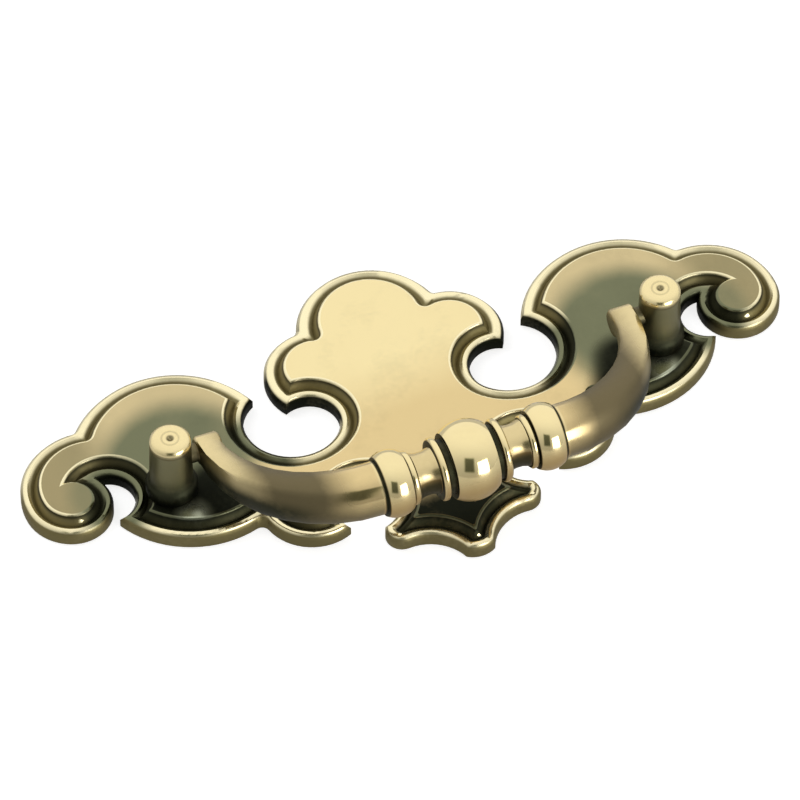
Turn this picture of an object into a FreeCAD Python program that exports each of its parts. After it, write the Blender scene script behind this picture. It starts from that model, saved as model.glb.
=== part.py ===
import FreeCAD, Part
import math
import os

import Sketcher
from FreeCAD import Placement, Rotation, Vector

# A cast bail pull for a drawer: a scrolled plate, two turned posts and a bail that swings between them.
# Millimetres. +Z is up and +X is right as the pull hangs, and -Y points away from the drawer front.
# The plate's flat back lies on Y = 0, midway between the posts.

doc = FreeCAD.newDocument("bail_pull")
sheet = doc.addObject("Spreadsheet::Sheet", "sizes")

# Driving sizes

SIZES = {
    "post_spacing": 76.2,
    # plate, across its border from the outer wall to the raised field
    "rim_height": 2.35,
    "rim_width": 1.85,
    "groove_depth": 0.63,
    "step_width": 1.3,
    "field_edge": 0.35,
    "field_height": 3.25,
    "notch_root_radius": 1.2,
    "groove_root_radius": 0.35,
    "smallest_round": 0.3,
    "screw_hole_radius": 2.6,
    # posts
    "foot_radius": 3.8,
    "foot_height": 1.5,
    "foot_cove": 0.8,
    "post_base_radius": 3.2,
    "post_top_radius": 3.0,
    "post_top": 14.6,
    "post_edge": 0.6,
    "dimple_radius": 0.55,
    "dimple_depth": 0.45,
    "thread_radius": 1.73,
    "thread_depth": 4.2,
    "drill_point": 0.35,
    # pivot
    "pivot_height": 9.6,
    "pin_radius": 1.4,
    "pin_clearance": 0.05,
    "pin_reach": 3.9,
    "pin_end_gap": 0.4,
    "rest_tilt": 16.1,
    # bail, about its own pivot
    "grip_drop": 20.6,
    "knuckle_gap": 1.0,
    "knuckle_width": 3.6,
    "knuckle_radius": 2.2,
    "knuckle_edge": 0.35,
    "knuckle_proud": 0.05,
    "arm_width": 7.8,
    "arm_depth": 8.0,
    "arm_end_depth": 4.3,
    "arm_belly": 0.35,
    # turned grip, from its middle outwards
    "barrel_length": 6.45,
    "barrel_radius": 6.0,
    "barrel_end_radius": 4.9,
    "quirk_width": 0.95,
    "quirk_radius": 4.1,
    "disc_width": 1.1,
    "disc_radius": 4.7,
    "disc_edge": 0.3,
    "neck_length": 4.4,
    "neck_radius": 3.2,
    "neck_end_radius": 3.5,
    "ring_width": 1.15,
    "ring_radius": 4.0,
    "ring_edge": 0.3,
    "collar_width": 4.0,
    "collar_radius": 5.0,
    "collar_end_radius": 4.35,
}

# The plate's outline is a chain of rounds. A lobe has its metal inside the round, a bite has it outside.
# Each is given by its centre, across and up, and its radius, as drawn for the spacing below. Across is
# taken from the plate's middle, or from the post's axis for the rounds of the wing. With another spacing
# of the posts the whole drawing, its border too, grows or shrinks in plan to reach them.
DRAWN_SPACING = 76.2
LOBE, BITE = 1, -1
ROUNDS = {
    "top_lobe": (LOBE, "middle", 0.0, 18.9, 10.4),
    "shoulder_lobe": (LOBE, "middle", 10.5, 13.5, 7.6),
    "scroll_bite": (BITE, "middle", 15.0, 4.8, 4.5),
    "wing_lobe": (LOBE, "post", -2.7, 6.6, 14.9),
    "volute_lobe": (LOBE, "post", 10.3, 5.0, 10.6),
    "side_bite": (BITE, "post", 9.0, 2.4, 4.0),
    "lower_lobe": (LOBE, "post", -5.1, 5.4, 15.4),
    "small_lobe": (LOBE, "middle", 19.5, -8.1, 7.8),
    "lower_bite": (BITE, "middle", 12.6, -12.4, 4.55),
    "ear_lobe": (LOBE, "middle", 9.5, -18.2, 2.45),
    "foot_lobe": (LOBE, "middle", 0.0, -21.8, 4.0),
}
# Rounds that run smoothly out of the one before: its radius, and the direction of the touching point.
RUNNING_ON = {
    "scroll_floor": (BITE, "scroll_bite", 7.3, 46.5),
    "scroll_tip": (BITE, "scroll_floor", 6.0, -8.0),
    "volute_turn": (LOBE, "volute_lobe", 7.3, -6.9),
    "volute_eye": (LOBE, "volute_turn", 5.95, -67.0),
    "ogee_bite": (BITE, "ear_lobe", 7.0, -94.5),
}
# How much wider than its groove a lobe's outer wall is, and how far its centre lies lower.
FLARES = {"top_lobe": 0.8, "shoulder_lobe": 0.3, "wing_lobe": 0.5}
# The chain from the top down the right side. A notch gets a small root between its two lobes.
CHAIN = [
    "top_lobe", "notch", "shoulder_lobe", "scroll_bite", "scroll_floor", "scroll_tip", "wing_lobe", "notch",
    "volute_lobe", "volute_turn", "volute_eye", "side_bite", "lower_lobe", "notch", "small_lobe",
    "lower_bite", "ear_lobe", "ogee_bite", "foot_lobe",
]
# At the slot the volute's eye and the bite beside it meet on the other side from all the rest.
CROSSED = ("volute_eye", "side_bite")

# The border's section: shares of the rim's width and height up to its crest. Then come the groove's
# floor and the broken edge of the raised field.
RIM_SHARES = [(0.0, 0.0), (0.0, 0.62), (0.24, 0.93), (0.55, 1.0)]

# The arm's section, as shares of its half width and half depth: how far its corners stand out beside
# the knuckle, on its cheek and on its inner side. A quarter of the way round, an oval has them all equal.
CHEEK_CORNER = 0.93
INNER_CORNER = 0.80
OVAL_CORNER = math.sqrt(0.5)
ARM_TAPER = 1.5
ARM_TURNS = [90, 80, 70, 60, 50, 40, 30, 20, 10, 0]


class Size:
    """A length that holds its number and the sheet's words for it."""

    def __init__(self, number, words):
        self.number = number
        self.words = words

    def joined(self, other, sign, number):
        words = other.words if isinstance(other, Size) else str(other)
        return Size(number, "(%s %s %s)" % (self.words, sign, words))

    def __add__(self, other):
        return self.joined(other, "+", self.number + float(other))

    def __sub__(self, other):
        return self.joined(other, "-", self.number - float(other))

    def __mul__(self, other):
        return self.joined(other, "*", self.number * float(other))

    def __truediv__(self, other):
        return self.joined(other, "/", self.number / float(other))

    def __float__(self):
        return float(self.number)


def fill_sheet():
    """Write every driving size to the sheet, under its own name."""
    rows = dict(SIZES)
    for name, (_, _, across, up, radius) in ROUNDS.items():
        rows.update({name + "_across": across, name + "_up": up, name + "_radius": radius})
    for name, (_, _, radius, direction) in RUNNING_ON.items():
        rows.update({name + "_radius": radius, name + "_direction": direction})
    for name, flare in FLARES.items():
        rows[name + "_flare"] = flare
    for row, (name, number) in enumerate(rows.items(), start=1):
        sheet.set("A%d" % row, name)
        sheet.set("B%d" % row, str(number))
        sheet.setAlias("B%d" % row, name)
    doc.recompute()


def size(name):
    """A driving size, read from the sheet."""
    return Size(float(getattr(sheet, name)), "sizes." + name)


def number(name):
    """The bare number of a driving size."""
    return float(size(name))


def bind(target, prop, length):
    """Set a property of an object from a size, and tie it to the sheet."""
    target.setExpression(prop, length.words)


def polar(centre, radius, angle):
    """A point at a distance and an angle in degrees from a centre."""
    turn = math.radians(angle)
    return centre[0] + radius * math.cos(turn), centre[1] + radius * math.sin(turn)


# Plate

def meet(first, first_radius, second, second_radius, side):
    """Where two circles meet, left (1) or right (-1) of the way from the first centre to the second."""
    across, up = second[0] - first[0], second[1] - first[1]
    apart = math.hypot(across, up)
    along = (apart ** 2 + first_radius ** 2 - second_radius ** 2) / (2 * apart)
    beside = side * math.sqrt(first_radius ** 2 - along ** 2)
    return (first[0] + (along * across - beside * up) / apart,
            first[1] + (along * up + beside * across) / apart)


def towards(centre, radius, target):
    """The point at a distance from a centre, in the direction of a target."""
    apart = math.hypot(target[0] - centre[0], target[1] - centre[1])
    share = radius / apart
    return centre[0] + share * (target[0] - centre[0]), centre[1] + share * (target[1] - centre[1])


def place_rounds(inset):
    """Every round of the outline by name, as drawn for a line at an inset: its kind, centre and radius."""
    outer_share = max(0.0, 1 - inset / number("rim_width"))
    starts = {"middle": 0.0, "post": DRAWN_SPACING / 2}
    placed = {}
    for name, (kind, start, _, _, _) in ROUNDS.items():
        flare = number(name + "_flare") * outer_share if name in FLARES else 0.0
        centre = (starts[start] + number(name + "_across"), number(name + "_up") - flare)
        placed[name] = (kind, centre, number(name + "_radius") + flare)
    for name, (kind, before, _, _) in RUNNING_ON.items():
        kind_before, centre_before, radius_before = placed[before]
        radius = number(name + "_radius")
        apart = radius_before - radius if kind == kind_before else radius_before + radius
        placed[name] = (kind, polar(centre_before, abs(apart), number(name + "_direction")), radius)
    return placed


def root_at(inset):
    """The radius in the root of a notch: soft at the wall, sharp at the groove, softer again inside it."""
    wall_root, groove_root = number("notch_root_radius"), number("groove_root_radius")
    share = inset / number("rim_width")
    if share > 1:
        return groove_root + inset - number("rim_width")
    return wall_root + (groove_root - wall_root) * share


def chain_at(inset):
    """The rounds of the right side in order, drawn in from the outer wall by an inset."""
    placed = place_rounds(inset)
    root = root_at(inset)
    smallest = number("smallest_round")
    rounds = []
    for place, name in enumerate(CHAIN):
        if name == "notch":
            _, before, before_radius = placed[CHAIN[place - 1]]
            _, after, after_radius = placed[CHAIN[place + 1]]
            centre = meet(before, before_radius - inset + root, after, after_radius - inset + root, 1)
            rounds.append((name, BITE, centre, root))
        else:
            kind, centre, radius = placed[name]
            rounds.append((name, kind, centre, radius - kind * inset))
    # Where an ear is too small for the inset, it becomes a small round between the bites beside it.
    ear = CHAIN.index("ear_lobe")
    _, _, lower_bite, lower_radius = rounds[ear - 1]
    _, _, ogee, ogee_radius = rounds[ear + 1]
    if rounds[ear][3] < smallest:
        centre = meet(lower_bite, lower_radius + smallest, ogee, ogee_radius + smallest, -1)
        rounds[ear] = ("ear_lobe", LOBE, centre, smallest)
    # Where the two ogees cross above the foot, the foot shrinks to a small round between them.
    _, _, foot, foot_radius = rounds[-1]
    if ogee[1] + math.sqrt(max(ogee_radius ** 2 - ogee[0] ** 2, 0.0)) > foot[1] - foot_radius:
        rise = math.sqrt((ogee_radius + smallest) ** 2 - ogee[0] ** 2)
        rounds[-1] = ("foot_lobe", LOBE, (0.0, ogee[1] + rise), smallest)
    return rounds


def joint_between(first, second):
    """The point where one round of the chain gives way to the next."""
    name, kind, centre, radius = first
    next_name, next_kind, next_centre, next_radius = second
    apart = math.hypot(next_centre[0] - centre[0], next_centre[1] - centre[1])
    reach = radius + next_radius if kind != next_kind else abs(radius - next_radius)
    smooth = "notch" in (name, next_name) or next_name in RUNNING_ON
    if smooth or abs(apart - reach) < 1e-6:
        if kind == next_kind and radius < next_radius:
            return towards(centre, -radius, next_centre)
        return towards(centre, radius, next_centre)
    side = -1 if (name, next_name) == CROSSED else 1
    return meet(centre, radius, next_centre, next_radius, side)


def halfway(kind, centre, radius, start, end):
    """The middle of an arc: clockwise round a lobe, the other way round a bite."""
    from_angle = math.atan2(start[1] - centre[1], start[0] - centre[0])
    to_angle = math.atan2(end[1] - centre[1], end[0] - centre[0])
    turn = (from_angle - to_angle) % (2 * math.pi) if kind == LOBE else (to_angle - from_angle) % (2 * math.pi)
    middle = from_angle - turn / 2 if kind == LOBE else from_angle + turn / 2
    return centre[0] + radius * math.cos(middle), centre[1] + radius * math.sin(middle)


def outline_at(inset, height):
    """The plate's whole outline as a wire, at an inset from the wall and a height off the back."""
    rounds = chain_at(inset)
    joints = [joint_between(first, second) for first, second in zip(rounds, rounds[1:])]
    scale = number("post_spacing") / DRAWN_SPACING

    def at(point):
        return Vector(point[0] * scale, -height, point[1] * scale)

    def mirrored(point):
        return -point[0], point[1]

    right = []
    for (_, kind, centre, radius), start, end in zip(rounds[1:-1], joints, joints[1:]):
        right.append((start, halfway(kind, centre, radius, start, end), end))
    top_centre, top_radius = rounds[0][2], rounds[0][3]
    foot_centre, foot_radius = rounds[-1][2], rounds[-1][3]
    top = (mirrored(joints[0]), (0.0, top_centre[1] + top_radius), joints[0])
    foot = (joints[-1], (0.0, foot_centre[1] - foot_radius), mirrored(joints[-1]))
    left = [tuple(mirrored(point) for point in reversed(arc)) for arc in reversed(right)]
    arcs = [top] + right + [foot] + left
    return Part.Wire([Part.Arc(at(start), at(middle), at(end)).toShape() for start, middle, end in arcs])


def border_section():
    """The border's section as pairs of inset and height, from the back to the raised field."""
    rim_width, rim_height = number("rim_width"), number("rim_height")
    section = [(across * rim_width, up * rim_height) for across, up in RIM_SHARES]
    section.append((rim_width, rim_height - number("groove_depth")))
    field_start, edge = rim_width + number("step_width"), number("field_edge")
    section.append((field_start - edge, number("field_height") - edge / 2))
    section.append((field_start, number("field_height")))
    return section


def cylinder(name, radius, height, base, axis_rotation):
    """A plain cylinder, sizes bound to the sheet."""
    made = doc.addObject("Part::Cylinder", name)
    bind(made, "Radius", radius)
    bind(made, "Height", height)
    made.Placement = Placement(Vector(0, 0, 0), axis_rotation)
    for part_of, length in zip("xyz", base):
        if isinstance(length, Size):
            bind(made, "Placement.Base." + part_of, length)
    return made


def make_backplate():
    """The cast plate: its border lofted through the outline at each level, with two screw holes."""
    outlines = []
    for level, (inset, height) in enumerate(border_section()):
        outline = doc.addObject("Part::Feature", "plate_outline_%d" % level)
        outline.Shape = outline_at(inset, height)
        outlines.append(outline)
    blank = doc.addObject("Part::Loft", "plate_blank")
    blank.Sections = outlines
    blank.Solid = True
    blank.Ruled = True

    towards_front = Rotation(Vector(1, 0, 0), 90)
    holes = doc.addObject("Part::MultiFuse", "screw_holes")
    holes.Shapes = [
        cylinder("%s_screw_hole" % side, size("screw_hole_radius"), size("field_height") * 3,
                 (size("post_spacing") * sign / 2, size("field_height"), 0), towards_front)
        for side, sign in (("left", -1), ("right", 1))
    ]
    plate = doc.addObject("Part::Cut", "backplate")
    plate.Base = blank
    plate.Tool = holes
    return plate


# Turned pieces

def plane_of(body, role):
    """One of a body's own origin planes."""
    return next(plane for plane in body.Origin.OriginFeatures if plane.Role == role)


def sketch_on(body, name, role="XY_Plane"):
    """A sketch on one of the body's origin planes."""
    sketch = body.newObject("Sketcher::SketchObject", name)
    sketch.AttachmentSupport = [(plane_of(body, role), "")]
    sketch.MapMode = "FlatFace"
    return sketch


def hold_point(sketch, edge, end, point):
    """Hold an edge's end at a point whose two lengths come from the sheet, or are nothing."""
    for axis, kind, length in ((-2, "DistanceX", point[0]), (-1, "DistanceY", point[1])):
        if float(length) == 0:
            sketch.addConstraint(Sketcher.Constraint("PointOnObject", edge, end, axis))
        else:
            held = sketch.addConstraint(Sketcher.Constraint(kind, -1, 1, edge, end, float(length)))
            bind(sketch, "Constraints[%d]" % held, length)


def closed_profile(sketch, corners):
    """Draw a closed profile. A corner is its two lengths and the rise of the arc that leaves it.

    A rise of nothing gives a straight line. Otherwise the next corner is as far up, and the rise is how
    far the arc's middle stands above the straight way to it.
    """
    count = len(corners)
    for place, (across, up, rise) in enumerate(corners):
        next_across, next_up, _ = corners[(place + 1) % count]
        start = Vector(float(across), float(up), 0)
        end = Vector(float(next_across), float(next_up), 0)
        if float(rise) == 0:
            sketch.addGeometry(Part.LineSegment(start, end))
        else:
            way = end - start
            beside = Vector(-way.y, way.x, 0).normalize()
            middle = (start + end) * 0.5 + beside * float(rise)
            sketch.addGeometry(Part.Arc(start, middle, end))
            half = (Size(0, "0") + next_across - across) / 2
            radius = (half * half + rise * rise) / (rise * 2)
            held = sketch.addConstraint(Sketcher.Constraint("Radius", place, float(radius)))
            bind(sketch, "Constraints[%d]" % held, radius)
    for place, (across, up, _) in enumerate(corners):
        start, end = arc_ends(corners, place)
        before_end = arc_ends(corners, (place - 1) % count)[1]
        sketch.addConstraint(Sketcher.Constraint("Coincident", (place - 1) % count, before_end, place, start))
        hold_point(sketch, place, start, (across, up))


def arc_ends(corners, place):
    """Which point numbers an edge starts and ends with: an arc that turns clockwise runs backwards."""
    return (2, 1) if float(corners[place][2]) > 0 else (1, 2)


def turned(body, sketch, axis):
    """Turn a sketch fully about one of its own axes."""
    turning = body.newObject("PartDesign::Revolution", sketch.Name + "_turned")
    turning.Profile = sketch
    turning.ReferenceAxis = (sketch, [axis])
    turning.Angle = 360
    return turning


def make_post(side):
    """A turned post: collar, shaft, dimpled top, threaded bore behind and blind cross hole inboard."""
    body = doc.addObject("PartDesign::Body", side + "_post")
    seat = size("field_height")
    top = size("post_top")
    profile = sketch_on(body, side + "_post_profile")
    closed_profile(profile, [
        (size("thread_radius"), seat, 0),
        (size("foot_radius"), seat, 0),
        (size("foot_radius"), seat + size("foot_height"), 0),
        (size("post_base_radius"), seat + size("foot_height") + size("foot_cove"), 0),
        (size("post_top_radius"), top - size("post_edge"), 0),
        (size("post_top_radius") - size("post_edge"), top, 0),
        (size("dimple_radius"), top, 0),
        (0, top - size("dimple_depth"), 0),
        (0, seat + size("thread_depth") + size("drill_point"), 0),
        (size("thread_radius"), seat + size("thread_depth"), 0),
    ])
    body.Tip = turned(body, profile, "V_Axis")
    doc.recompute()
    whole = body.Shape.Volume

    hole = sketch_on(body, side + "_pivot_hole", "YZ_Plane")
    bottom = size("pin_end_gap") - (size("post_spacing") / 2 - pin_tip())
    bind(hole, "AttachmentOffset.Base.z", Size(0, "0") - bottom)
    circle = hole.addGeometry(Part.Circle(Vector(number("pivot_height"), 0, 0), Vector(0, 0, 1), number("pin_radius")))
    radius = hole.addConstraint(Sketcher.Constraint("Radius", circle, number("pin_radius")))
    bind(hole, "Constraints[%d]" % radius, size("pin_radius") + size("pin_clearance"))
    hold_point(hole, circle, 3, (size("pivot_height"), 0))
    pocket = body.newObject("PartDesign::Pocket", side + "_pivot_pocket")
    pocket.Profile = hole
    pocket.Reversed = True
    bind(pocket, "Length", size("foot_radius") * 2)
    body.Tip = pocket
    doc.recompute()
    if not body.Shape.Volume < whole - 1:
        raise RuntimeError("the pivot hole of %s_post cuts nothing" % side)

    turn = Rotation(Vector(1, 0, 0), 180) if side == "left" else Rotation(Vector(0, 0, 1), 180)
    body.Placement = Placement(Vector(0, 0, 0), turn)
    sign = -1 if side == "left" else 1
    bind(body, "Placement.Base.x", size("post_spacing") * sign / 2)
    return body


# Bail, in its own frame: the pivot axis is X, the grip hangs towards -Z and -Y points at the hand

def knuckle_face():
    """How far out the flat outer side of a knuckle stands."""
    return size("post_spacing") / 2 - size("post_top_radius") - size("knuckle_gap")


def pin_tip():
    """How far out a pivot pin reaches."""
    return knuckle_face() + size("pin_reach")


def make_grip():
    """The turned grip: barrel, discs, necks and collars, the same to both sides of its middle."""
    body = doc.addObject("PartDesign::Body", "grip")
    sketch = sketch_on(body, "grip_profile")
    barrel_end = size("barrel_length") / 2
    disc_start = barrel_end + size("quirk_width")
    neck_start = disc_start + size("disc_width")
    neck_end = neck_start + size("neck_length")
    collar_end = neck_end + size("collar_width")
    disc_edge, disc_radius = size("disc_edge"), size("disc_radius")
    ring_start = neck_end - size("ring_width")
    ring_edge, ring_radius = size("ring_edge"), size("ring_radius")
    neck_third = (ring_start - neck_start) / 3
    collar_rise = size("collar_radius") - size("collar_end_radius")
    steps = [
        (barrel_end, size("barrel_end_radius"), 0),
        (barrel_end, size("quirk_radius"), 0),
        (disc_start, size("quirk_radius"), 0),
        (disc_start, disc_radius - disc_edge, 0),
        (disc_start + disc_edge, disc_radius, 0),
        (neck_start - disc_edge, disc_radius, 0),
        (neck_start, disc_radius - disc_edge, 0),
        (neck_start, size("neck_end_radius"), 0),
        (neck_start + neck_third, size("neck_radius"), 0),
        (ring_start - neck_third, size("neck_radius"), 0),
        (ring_start, size("neck_end_radius"), 0),
        (ring_start, ring_radius - ring_edge, 0),
        (ring_start + ring_edge, ring_radius, 0),
        (neck_end - ring_edge, ring_radius, 0),
        (neck_end, ring_radius - ring_edge, 0),
        (neck_end, size("collar_end_radius"), collar_rise),
        (collar_end, size("collar_end_radius"), 0),
        (collar_end, 0, 0),
    ]
    left = [(Size(0, "0") - across, up, 0) for across, up, _ in reversed(steps)]
    rises = [rise for _, _, rise in steps]
    for place in range(len(left) - 1):
        across, up, _ = left[place]
        left[place] = (across, up, rises[len(steps) - 2 - place])
    across, up, _ = left[-1]
    left[-1] = (across, up, size("barrel_radius") - size("barrel_end_radius"))
    closed_profile(sketch, left + steps)
    body.Tip = turned(body, sketch, "H_Axis")
    bind(body, "Placement.Base.z", Size(0, "0") - size("grip_drop"))
    return body


def arm_section(turn, lead=0.0):
    """One section across the right arm, square to its centre line.

    turn runs from 90 degrees at the grip's collar to 0 at the pivot, and lead sets the section back
    into the collar. The section is an oval at the grip and flat-cheeked at the knuckle.
    """
    knuckle_width = number("knuckle_width")
    start = arm_start()
    across_reach = float(knuckle_face()) - knuckle_width / 2 - start
    drop = number("grip_drop")
    angle = math.radians(turn)
    centre = Vector(start + across_reach * math.cos(angle) - lead, 0, -drop * math.sin(angle))
    way = Vector(-across_reach * math.sin(angle), 0, -drop * math.cos(angle)).normalize()
    outwards = Vector(-way.z, 0, way.x)
    front = Vector(0, -1, 0)

    share = math.sin(angle) ** ARM_TAPER
    half_width = (knuckle_width + (number("arm_width") - knuckle_width) * share) / 2
    half_depth = (number("arm_end_depth") + (number("arm_depth") - number("arm_end_depth")) * share) / 2
    belly = number("arm_belly") * math.sin(2 * angle)
    cheek = OVAL_CORNER + (CHEEK_CORNER - OVAL_CORNER) * (1 - share)
    inner = OVAL_CORNER + (INNER_CORNER - OVAL_CORNER) * (1 - share)

    def at(out, forward):
        return centre + outwards * (out * half_width) + front * (forward * half_depth - belly)

    corners = [at(cheek, cheek), at(-inner, inner), at(-inner, -inner), at(cheek, -cheek)]
    middles = [at(0, 1), at(-1, 0), at(0, -1), at(1, 0)]
    edges = []
    for place, middle in enumerate(middles):
        edges.append(Part.Arc(corners[place], middle, corners[(place + 1) % 4]).toShape())
    return Part.Wire(edges)


def arm_start():
    """How far out the arm's bend begins, at the collar's outer end."""
    turned_length = number("barrel_length") / 2 + number("quirk_width") + number("disc_width")
    return turned_length + number("neck_length") + number("collar_width")


def make_arm():
    """The right arm, its knuckle and its pivot pin."""
    sections = []
    stations = [(ARM_TURNS[0], number("collar_width") / 2)] + [(turn, 0) for turn in ARM_TURNS]
    for place, (turn, lead) in enumerate(stations):
        section = doc.addObject("Part::Feature", "arm_section_%d" % place)
        section.Shape = arm_section(turn, lead)
        sections.append(section)
    bend = doc.addObject("Part::Loft", "arm_bend")
    bend.Sections = sections
    bend.Solid = True
    bend.Ruled = True

    body = doc.addObject("PartDesign::Body", "knuckle")
    sketch = sketch_on(body, "knuckle_profile")
    face = knuckle_face()
    inside = face - size("knuckle_width")
    outside = face + size("knuckle_proud")
    edge = size("knuckle_edge")
    closed_profile(sketch, [
        (inside, 0, 0),
        (pin_tip(), 0, 0),
        (pin_tip(), size("pin_radius") - edge, 0),
        (pin_tip() - edge, size("pin_radius"), 0),
        (outside, size("pin_radius"), 0),
        (outside, size("knuckle_radius") - edge, 0),
        (outside - edge, size("knuckle_radius"), 0),
        (inside + edge, size("knuckle_radius"), 0),
        (inside, size("knuckle_radius") - edge, 0),
    ])
    body.Tip = turned(body, sketch, "H_Axis")

    arm = doc.addObject("Part::Fuse", "right_arm")
    arm.Base = bend
    arm.Tool = body
    return arm


def make_bail():
    """The cast bail: the grip with an arm, a knuckle and a pin to each side, swung to its rest."""
    right = make_arm()
    left = doc.addObject("Part::Mirroring", "left_arm")
    left.Source = right
    left.Base = Vector(0, 0, 0)
    left.Normal = Vector(1, 0, 0)
    bail = doc.addObject("Part::MultiFuse", "bail")
    bail.Shapes = [make_grip(), right, left]
    bail.Placement = Placement(Vector(0, 0, 0), Rotation(Vector(-1, 0, 0), number("rest_tilt")))
    bind(bail, "Placement.Rotation.Angle", size("rest_tilt"))
    bind(bail, "Placement.Base.y", Size(0, "0") - size("pivot_height"))
    return bail


def check_and_write(pieces):
    """Test every object and every piece, then write the pieces."""
    doc.recompute()
    failed = [item.Name for item in doc.Objects if "Invalid" in item.State or "Error" in item.State]
    if failed:
        raise RuntimeError("failed objects: " + ", ".join(failed))
    for piece in pieces:
        shape = piece.Shape
        if shape.isNull() or not shape.isValid() or len(shape.Solids) != 1:
            raise RuntimeError("bad shape: " + piece.Label)
    os.makedirs("parts", exist_ok=True)
    for piece in pieces:
        piece.Shape.exportStep("parts/%s.step" % piece.Label)
        box = piece.Shape.BoundBox
        print("%-12s volume %8.1f  x %6.1f %6.1f  y %6.1f %6.1f  z %6.1f %6.1f" % (
            piece.Label, piece.Shape.Volume, box.XMin, box.XMax, box.YMin, box.YMax, box.ZMin, box.ZMax))


fill_sheet()
check_and_write([make_backplate(), make_post("left"), make_post("right"), make_bail()])
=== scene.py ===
"""Looks of a cast bail pull in antique brass: plate, posts and bail, with its board, lamps and camera."""

import logging
import math
from dataclasses import dataclass, field
from enum import Enum
from functools import reduce

import bmesh
import bpy
from mathutils import Matrix, Vector
from mathutils.bvhtree import BVHTree


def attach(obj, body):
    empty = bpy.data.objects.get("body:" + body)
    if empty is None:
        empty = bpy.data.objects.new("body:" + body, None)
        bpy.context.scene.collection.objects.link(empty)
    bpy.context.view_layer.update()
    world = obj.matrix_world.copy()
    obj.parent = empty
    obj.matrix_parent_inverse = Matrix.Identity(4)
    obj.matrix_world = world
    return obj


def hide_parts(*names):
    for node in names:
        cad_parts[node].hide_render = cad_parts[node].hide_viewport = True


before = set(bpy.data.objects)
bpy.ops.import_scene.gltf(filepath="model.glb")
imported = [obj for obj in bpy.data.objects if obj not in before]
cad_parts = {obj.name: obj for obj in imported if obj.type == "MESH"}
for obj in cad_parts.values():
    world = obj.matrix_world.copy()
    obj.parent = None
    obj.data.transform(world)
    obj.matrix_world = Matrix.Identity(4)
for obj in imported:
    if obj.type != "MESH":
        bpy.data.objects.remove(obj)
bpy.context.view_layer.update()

logging.basicConfig(level=logging.INFO, format="%(message)s")
log = logging.getLogger("bail_pull")

MM = 0.001
Colour = tuple[float, float, float]
Point = tuple[float, float, float]
Socket = bpy.types.NodeSocket

# A place on the plate is how far aside and how far up from the pull's middle it lies.
Place = tuple[float, float]
# A span is where a value begins to change and where it has changed, and a band is a span in and a span out.
Span = tuple[float, float]
Band = tuple[Span, Span]


def srgb(red: int, green: int, blue: int) -> Colour:
    """Turn a colour as a screen shows it into the linear values that a shader takes.

    Args:
        red: Red from 0 to 255.
        green: Green from 0 to 255.
        blue: Blue from 0 to 255.

    Returns:
        The three linear values.
    """
    def linear(level: int) -> float:
        """One channel, made linear."""
        share = level / 255
        return share / 12.92 if share <= 0.04045 else ((share + 0.055) / 1.055) ** 2.4
    return linear(red), linear(green), linear(blue)


class Tone(Enum):
    """The tones of the brass, from rubbed bright to the dark left in the hollows; the darkest also paint
    shade, and the palest highlights.
    """

    # Cream is the rubbed crests' tone, and also a painted highlight along the field's edge and on walls that
    # face up.
    CREAM = srgb(250, 238, 194)
    BRIGHT = srgb(240, 222, 168)
    GOLD = srgb(221, 197, 143)
    TAN = srgb(204, 186, 140)
    STRAW = srgb(160, 147, 108)
    AMBER = srgb(176, 142, 88)
    BROWN = srgb(116, 105, 77)
    # Sage is the tone of the painted reflection in the lower lobes.
    SAGE = srgb(196, 200, 176)
    GREY_GREEN = srgb(116, 118, 90)
    OLIVE = srgb(128, 118, 80)
    DARK = srgb(52, 52, 36)
    BLACK = srgb(28, 30, 21)


# Node graphs

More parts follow.
